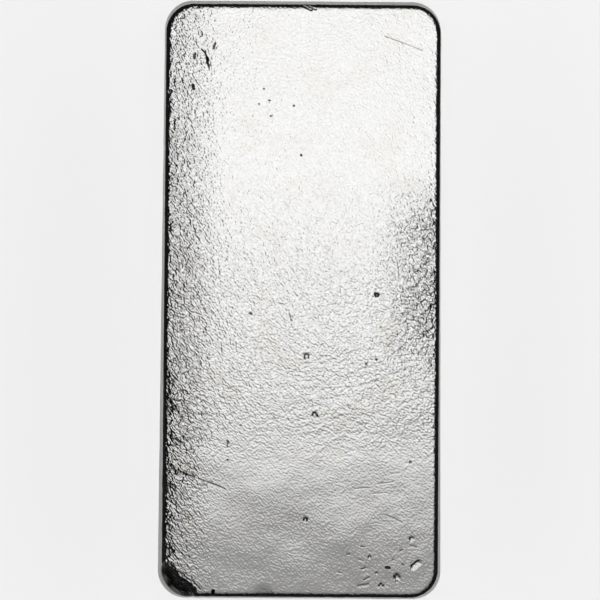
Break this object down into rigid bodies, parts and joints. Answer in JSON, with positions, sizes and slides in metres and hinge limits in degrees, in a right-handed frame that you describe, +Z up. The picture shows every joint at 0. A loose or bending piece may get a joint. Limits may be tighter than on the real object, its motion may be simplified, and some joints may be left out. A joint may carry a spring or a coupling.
{
  "type": "metal ingot",
  "caption": "Cast silver bar: flat rectangular ingot with leaning walls, round corners and a rolled rim around its grainy upper face, kept as bullion or remelting stock.",
  "frame": {"origin": "centre of the bar's plan box, on the level that the bar rests on", "axes": "+Y along the length, towards the narrower head end; +X across the bar, to the right when seen from above with the head end away; +Z up, from the base to the smaller, grainy face"},
  "size_m": [0.0532, 0.112, 0.0167],
  "materials": {
    "cast_silver": "satin"
  },
  "bodies": {
    "root": {"ingot": "cast_silver"}
  },
  "joints": []
}
